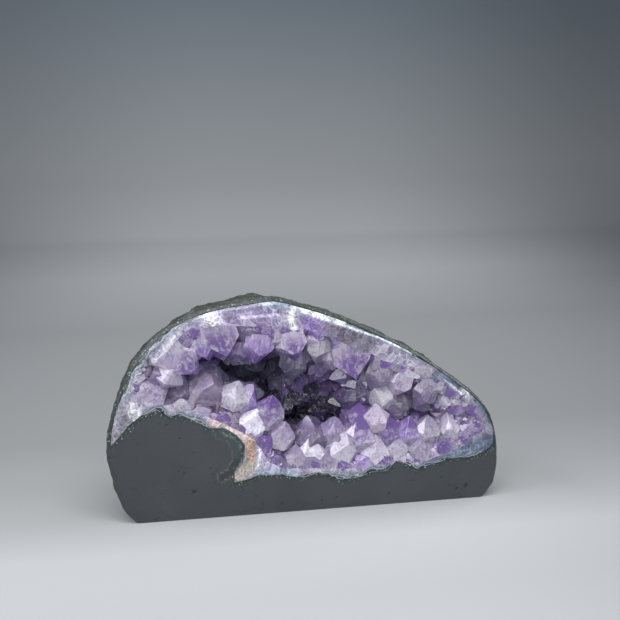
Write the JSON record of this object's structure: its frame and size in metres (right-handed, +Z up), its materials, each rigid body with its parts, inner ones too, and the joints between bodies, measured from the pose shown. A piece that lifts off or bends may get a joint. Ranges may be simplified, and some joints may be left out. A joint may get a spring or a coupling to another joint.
{
  "type": "amethyst druse",
  "caption": "Sawn and polished basalt geode that stands on its cut base and shows a hollow lined with amethyst crystals, for display.",
  "frame": {"origin": "middle of the sawn base, at the bottom centre of the bounding box", "axes": "+Z up, +X to the right along the long side, and the polished face with the hollow looks along -Y"},
  "size_m": [0.1998, 0.086, 0.1075],
  "materials": {
    "basalt": "sawn and satin polished on the front, rough greenish grey on the back",
    "amethyst": "clear to milky purple quartz with glossy crystal faces and a polished agate rim"
  },
  "bodies": {
    "root": {"basalt_shell": "basalt", "amethyst_crust": "amethyst"}
  },
  "joints": []
}
